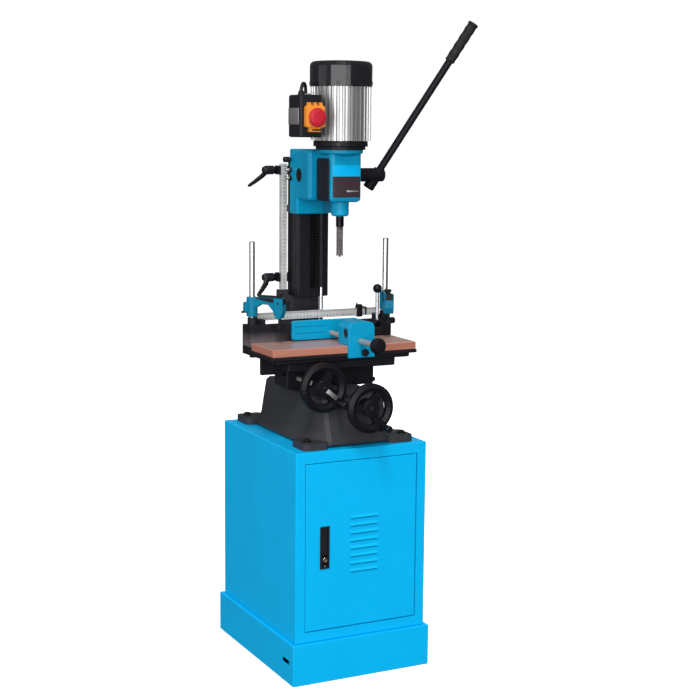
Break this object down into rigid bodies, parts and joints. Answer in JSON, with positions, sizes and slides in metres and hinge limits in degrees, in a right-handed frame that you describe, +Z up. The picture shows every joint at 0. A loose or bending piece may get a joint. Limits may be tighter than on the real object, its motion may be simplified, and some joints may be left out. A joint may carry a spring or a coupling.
{
  "type": "hollow chisel mortiser",
  "caption": "Floor-standing hollow chisel mortiser: sheet-metal cabinet, cross-slide table with screw vise and hold-downs, rack-fed motor head on a dovetail column.",
  "frame": {"origin": "centre of the stand's footprint, on the floor", "axes": "+Z up, -Y towards the user at the front, +X to the user's right"},
  "size_m": [0.6142, 0.5934, 1.7195],
  "materials": {
    "stand_plinth": "light blue sheet-metal paint, satin",
    "stand_cabinet": "light blue sheet-metal paint, satin",
    "door_hinge_rod": "bright ground steel",
    "stand_door": "light blue sheet-metal paint, satin",
    "latch_case": "black moulded plastic",
    "latch_handle": "black moulded plastic",
    "base_casting": "black machine paint on cast iron",
    "cross_leadscrew": "bright ground steel",
    "cross_handwheel": "black moulded plastic",
    "cross_crank_handle": "black moulded plastic",
    "saddle": "black machine paint on cast iron",
    "saddle_lock_lever": "black paint, satin",
    "table_pinion_shaft": "bright ground steel",
    "table_handwheel": "black moulded plastic",
    "table_crank_handle": "black moulded plastic",
    "table_casting": "black machine paint on cast iron",
    "table_board": "clear-finished hardwood",
    "post_left": "bright ground steel",
    "post_right": "bright ground steel",
    "fence_rule": "bare aluminium",
    "work_stop": "black paint, satin",
    "work_stop_knob": "black moulded plastic",
    "post_lock_knob": "black moulded plastic",
    "vise_lever": "polished chrome",
    "vise_lever_ball": "black moulded ball",
    "hold_down_left": "smooth blue machine enamel, satin",
    "hold_down_right": "smooth blue machine enamel, satin",
    "hold_down_screw_left": "dull machined steel",
    "hold_down_screw_right": "dull machined steel",
    "hold_down_lever_left": "black moulded plastic",
    "hold_down_lever_right": "black moulded plastic",
    "vise_block": "smooth blue machine enamel, satin",
    "vise_jaw": "smooth blue machine enamel, satin",
    "vise_screw": "bright ground steel",
    "vise_knob": "black moulded plastic",
    "vise_lock_knob": "black moulded plastic",
    "column_foot": "black machine paint on cast iron",
    "column": "black machine paint on cast iron",
    "column_rack": "dull machined steel",
    "depth_rule": "bare aluminium",
    "upper_stop": "black paint, satin",
    "upper_stop_lever": "black moulded plastic",
    "lower_stop": "black paint, satin",
    "lower_stop_lever": "black moulded plastic",
    "strut_rod": "polished chrome",
    "strut_cylinder": "black paint, satin",
    "head_casting": "smooth blue machine enamel, satin",
    "chuck_cover": "black moulded plastic",
    "hollow_chisel": "dull machined steel",
    "auger_bit": "dull machined steel",
    "motor_flange": "black paint, satin",
    "motor_housing": "bare aluminium",
    "fan_cowl": "black moulded plastic",
    "switch_box": "black moulded plastic",
    "switch_frame": "orange moulded plastic",
    "stop_button": "red moulded plastic",
    "switch_cable": "black rubber",
    "feed_shaft": "black paint, satin",
    "feed_lever": "black paint, satin",
    "feed_grip": "black rubber"
  },
  "bodies": {
    "stand": {"stand_plinth": "stand_plinth", "stand_cabinet": "stand_cabinet", "door_hinge_rod": "door_hinge_rod", "base_casting": "base_casting", "column_foot": "column_foot", "column": "column", "column_rack": "column_rack", "depth_rule": "depth_rule", "strut_rod": "strut_rod"},
    "door": {"stand_door": "stand_door", "latch_case": "latch_case"},
    "latch": {"latch_handle": "latch_handle"},
    "saddle_body": {"saddle": "saddle"},
    "cross_screw": {"cross_leadscrew": "cross_leadscrew", "cross_handwheel": "cross_handwheel"},
    "cross_crank": {"cross_crank_handle": "cross_crank_handle"},
    "saddle_lock": {"saddle_lock_lever": "saddle_lock_lever"},
    "table_pinion": {"table_pinion_shaft": "table_pinion_shaft", "table_handwheel": "table_handwheel"},
    "table_crank": {"table_crank_handle": "table_crank_handle"},
    "table": {"table_casting": "table_casting", "table_board": "table_board", "fence_rule": "fence_rule", "vise_block": "vise_block"},
    "left_post": {"post_left": "post_left"},
    "right_post": {"post_right": "post_right"},
    "left_hold": {"hold_down_left": "hold_down_left"},
    "right_hold": {"hold_down_right": "hold_down_right"},
    "left_screw": {"hold_down_screw_left": "hold_down_screw_left"},
    "right_screw": {"hold_down_screw_right": "hold_down_screw_right"},
    "left_lever": {"hold_down_lever_left": "hold_down_lever_left"},
    "right_lever": {"hold_down_lever_right": "hold_down_lever_right"},
    "stop_slider": {"work_stop": "work_stop"},
    "stop_knob": {"work_stop_knob": "work_stop_knob"},
    "post_lock": {"post_lock_knob": "post_lock_knob"},
    "jaw": {"vise_jaw": "vise_jaw"},
    "jaw_screw": {"vise_screw": "vise_screw", "vise_knob": "vise_knob"},
    "vise_lock": {"vise_lock_knob": "vise_lock_knob"},
    "vise_clamp": {"vise_lever": "vise_lever", "vise_lever_ball": "vise_lever_ball"},
    "upper_limit": {"upper_stop": "upper_stop"},
    "upper_limit_lever": {"upper_stop_lever": "upper_stop_lever"},
    "lower_limit": {"lower_stop": "lower_stop"},
    "lower_limit_lever": {"lower_stop_lever": "lower_stop_lever"},
    "head": {"head_casting": "head_casting", "chuck_cover": "chuck_cover", "hollow_chisel": "hollow_chisel", "motor_flange": "motor_flange", "motor_housing": "motor_housing", "fan_cowl": "fan_cowl", "switch_box": "switch_box", "switch_frame": "switch_frame", "switch_cable": "switch_cable", "strut_cylinder": "strut_cylinder"},
    "feed": {"feed_shaft": "feed_shaft", "feed_lever": "feed_lever", "feed_grip": "feed_grip"},
    "spindle": {"auger_bit": "auger_bit"},
    "button": {"stop_button": "stop_button"}
  },
  "joints": [
    {"name": "door_hinge", "type": "hinge", "parent": "stand", "child": "door", "pos_m": [0.1579, -0.2381, 0.1395], "axis": [0, 0, 1], "range_deg": [0, 110]},
    {"name": "latch_pull", "type": "hinge", "parent": "door", "child": "latch", "pos_m": [-0.108, -0.2435, 0.41025], "axis": [-1, 0, 0], "range_deg": [0, 35]},
    {"name": "saddle_slide", "type": "slide", "parent": "stand", "child": "saddle_body", "axis": [0, 1, 0], "range_m": [-0.08, 0]},
    {"name": "cross_screw_spin", "type": "hinge", "parent": "saddle_body", "child": "cross_screw", "pos_m": [0, -0.28, 0.725], "axis": [0, 1, 0], "range_deg": [0, 7200]},
    {"name": "cross_crank_spin", "type": "hinge", "parent": "cross_screw", "child": "cross_crank", "pos_m": [0.02618, -0.28, 0.67777], "axis": [0, 1, 0], "continuous": true},
    {"name": "saddle_lock_turn", "type": "hinge", "parent": "saddle_body", "child": "saddle_lock", "pos_m": [0.1303, -0.03, 0.752], "axis": [1, 0, 0], "range_deg": [0, 60]},
    {"name": "table_slide", "type": "slide", "parent": "saddle_body", "child": "table", "axis": [1, 0, 0], "range_m": [-0.08901, 0.08901]},
    {"name": "table_pinion_spin", "type": "hinge", "parent": "saddle_body", "child": "table_pinion", "pos_m": [-0.0971, -0.2055, 0.7727], "axis": [0, 1, 0], "range_deg": [-511, 511]},
    {"name": "table_crank_spin", "type": "hinge", "parent": "table_pinion", "child": "table_crank", "pos_m": [-0.06167, -0.2055, 0.73195], "axis": [0, 1, 0], "continuous": true},
    {"name": "post_swivel_left", "type": "hinge", "parent": "table", "child": "left_post", "pos_m": [-0.2, 0.019, 0.934], "axis": [0, 0, 1], "range_deg": [-35, 20]},
    {"name": "hold_slide_left", "type": "slide", "parent": "left_post", "child": "left_hold", "axis": [0, 0, 1], "range_m": [0, 0.13]},
    {"name": "hold_screw_raise_left", "type": "slide", "parent": "left_hold", "child": "left_screw", "axis": [0, 0, 1], "range_m": [-0.012, 0.012]},
    {"name": "hold_lever_turn_left", "type": "hinge", "parent": "left_hold", "child": "left_lever", "pos_m": [-0.1826, -0.00032, 0.9888], "axis": [0, 0, 1], "range_deg": [-25, 25]},
    {"name": "post_swivel_right", "type": "hinge", "parent": "table", "child": "right_post", "pos_m": [0.2, 0.019, 0.934], "axis": [0, 0, 1], "range_deg": [-25, 35]},
    {"name": "hold_slide_right", "type": "slide", "parent": "right_post", "child": "right_hold", "axis": [0, 0, 1], "range_m": [0, 0.13]},
    {"name": "hold_screw_raise_right", "type": "slide", "parent": "right_hold", "child": "right_screw", "axis": [0, 0, 1], "range_m": [-0.012, 0.012]},
    {"name": "hold_lever_turn_right", "type": "hinge", "parent": "right_hold", "child": "right_lever", "pos_m": [0.19068, -0.00527, 0.9888], "axis": [0, 0, 1], "range_deg": [-25, 25]},
    {"name": "work_stop_slide", "type": "slide", "parent": "table", "child": "stop_slider", "axis": [1, 0, 0], "range_m": [-0.085, 0.028]},
    {"name": "work_stop_knob_turn", "type": "hinge", "parent": "stop_slider", "child": "stop_knob", "pos_m": [0.128, 0.04305, 0.9315], "axis": [0, 1, 0], "range_deg": [-60, 60]},
    {"name": "post_lock_turn", "type": "hinge", "parent": "table", "child": "post_lock", "pos_m": [0.214, 0.019, 0.905], "axis": [1, 0, 0], "range_deg": [-90, 90]},
    {"name": "vise_jaw_slide", "type": "slide", "parent": "table", "child": "jaw", "axis": [0, 1, 0], "range_m": [-0.045, 0.003]},
    {"name": "vise_screw_spin", "type": "hinge", "parent": "jaw", "child": "jaw_screw", "pos_m": [0.0385, -0.227, 0.8785], "axis": [0, 1, 0], "range_deg": [-3240, 216]},
    {"name": "vise_lock_turn", "type": "hinge", "parent": "table", "child": "vise_lock", "pos_m": [0.048, -0.153, 0.8485], "axis": [0, 1, 0], "range_deg": [-90, 90]},
    {"name": "vise_lever_swing", "type": "hinge", "parent": "table", "child": "vise_clamp", "pos_m": [0.0803, -0.12, 0.916], "axis": [1, 0, 0], "range_deg": [0, 60]},
    {"name": "upper_stop_slide", "type": "slide", "parent": "stand", "child": "upper_limit", "axis": [0, 0, 1], "range_m": [-0.05, 0.004]},
    {"name": "upper_stop_lever_turn", "type": "hinge", "parent": "upper_limit", "child": "upper_limit_lever", "pos_m": [-0.0788, 0.1348, 1.3185], "axis": [1, 0, 0], "range_deg": [-30, 30]},
    {"name": "lower_stop_slide", "type": "slide", "parent": "stand", "child": "lower_limit", "axis": [0, 0, 1], "range_m": [-0.018, 0.12]},
    {"name": "lower_stop_lever_turn", "type": "hinge", "parent": "lower_limit", "child": "lower_limit_lever", "pos_m": [-0.0788, 0.1348, 1.026], "axis": [1, 0, 0], "range_deg": [-30, 30]},
    {"name": "head_slide", "type": "slide", "parent": "stand", "child": "head", "axis": [0, 0, 1], "range_m": [-0.085, 0]},
    {"name": "feed_lever_swing", "type": "hinge", "parent": "head", "child": "feed", "pos_m": [0.169, 0.01973, 1.308], "axis": [1, 0, 0], "range_deg": [0, 138.5]},
    {"name": "bit_spin", "type": "hinge", "parent": "head", "child": "spindle", "pos_m": [0, -0.0975, 1.265], "axis": [0, 0, 1], "continuous": true},
    {"name": "stop_button_push", "type": "slide", "parent": "head", "child": "button", "axis": [0, 1, 0], "range_m": [0, 0.006], "stiffness_N_per_m": 600}
  ],
  "couplings": [
    {"joint": "cross_screw_spin", "follows": "saddle_slide", "rad_per_m": -1570.8},
    {"joint": "table_pinion_spin", "follows": "table_slide", "rad_per_m": 100},
    {"joint": "vise_screw_spin", "follows": "vise_jaw_slide", "rad_per_m": 1256.6},
    {"joint": "feed_lever_swing", "follows": "head_slide", "rad_per_m": -28.431}
  ]
}
